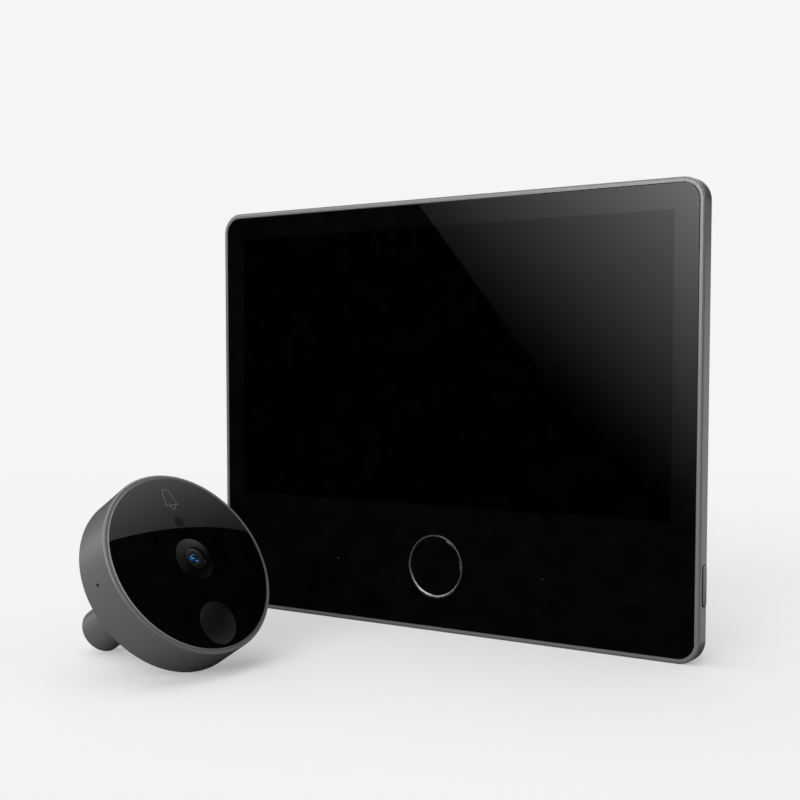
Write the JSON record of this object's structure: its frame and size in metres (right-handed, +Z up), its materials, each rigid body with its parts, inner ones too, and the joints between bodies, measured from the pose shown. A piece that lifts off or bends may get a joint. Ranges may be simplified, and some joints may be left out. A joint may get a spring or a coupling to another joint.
{
  "type": "peephole door camera",
  "caption": "Door camera in two units: a flat indoor monitor with a home button, hung on a door plate, and a round outdoor camera with a bell touch key and a hollow stem.",
  "frame": {"origin": "middle of the flat strip on the monitor's lower edge, on the surface that both units stand on", "axes": "+X to the right across the screen, +Y from the screen towards the door, +Z up"},
  "size_m": [0.1722, 0.1236, 0.134],
  "materials": {
    "shell_metal": "fine bead-blasted, anodised dark grey",
    "cover_plastic": "fine spark-eroded texture, dark grey",
    "black_glass": "black-printed behind, polished",
    "display_glass": "black while switched off",
    "white_plastic": "light guide with a white frame",
    "black_rubber": "matt",
    "bare_aluminium": "stamped sheet",
    "bright_ring": "turned and polished",
    "steel": "plated",
    "plate_steel": "black zinc-coated sheet",
    "red_plastic": "moulded",
    "black_plastic": "moulded",
    "circuit_board": "solder-masked glass-fibre board",
    "cream_plastic": "moulded nylon",
    "battery_wrap": "foil pouch",
    "copper_film": "etched copper on film",
    "dark_window": "infrared-clear, dark to the eye",
    "coated_lens": "blue anti-reflection coating",
    "filter_glass": "infrared-cut coating",
    "clear_plastic": "moulded clear",
    "smoked_plastic": "moulded, smoked dark"
  },
  "bodies": {
    "monitor": {"front_frame": "shell_metal", "cover_glass": "black_glass", "glass_tape": "black_rubber", "display_cell": "display_glass", "backlight_unit": "white_plastic", "chassis_plate": "bare_aluminium", "chassis_screws": "steel", "home_ring": "bright_ring", "home_switch": "black_plastic", "chin_board": "circuit_board", "microphones": "steel", "microphone_boots": "black_rubber", "side_switch": "black_plastic", "main_board": "circuit_board", "processor_shield": "steel", "link_socket": "cream_plastic", "charging_port": "steel", "battery_pack": "battery_wrap", "loudspeaker": "black_plastic", "speaker_gasket": "black_rubber", "aerial": "copper_film", "board_screws": "steel", "rear_cover": "cover_plastic", "cover_screws": "steel"},
    "home_button": {"home_button": "black_glass", "home_plunger": "red_plastic"},
    "side_key": {"side_key": "shell_metal", "side_plunger": "red_plastic"},
    "door_plate": {"door_plate": "plate_steel"},
    "outdoor_camera": {"camera_housing": "shell_metal", "stem": "shell_metal", "weather_pad": "black_rubber", "camera_glass": "black_glass", "glass_seal": "black_rubber", "motion_window": "dark_window", "bell_touch_pad": "copper_film", "camera_carrier": "black_plastic", "lens_shroud": "black_plastic", "lens_barrel": "black_plastic", "front_lens": "coated_lens", "rear_lens": "coated_lens", "lens_holder": "black_plastic", "infrared_filter": "filter_glass", "image_sensor": "black_plastic", "camera_board": "circuit_board", "light_pipe": "smoked_plastic", "light_sensor": "black_plastic", "infrared_lamps": "clear_plastic", "motion_sensor": "steel", "chime_speaker": "black_plastic", "camera_microphone": "steel", "housing_screws": "steel", "camera_link_socket": "cream_plastic"}
  },
  "joints": [
    {"name": "home_press", "type": "slide", "parent": "monitor", "child": "home_button", "axis": [0, 1, 0], "range_m": [0, 0.0004], "stiffness_N_per_m": 1500, "springref_m": -0.0004},
    {"name": "side_press", "type": "slide", "parent": "monitor", "child": "side_key", "axis": [-1, 0, 0], "range_m": [0, 0.0004], "stiffness_N_per_m": 1500, "springref_m": -0.0004},
    {"name": "plate_lift", "type": "slide", "parent": "monitor", "child": "door_plate", "axis": [0, 0, -1], "range_m": [0, 0.006]},
    {"name": "outdoor_slide", "type": "slide", "parent": "monitor", "child": "outdoor_camera", "axis": [1, 0, 0], "range_m": [-0.04, 0.04]}
  ]
}
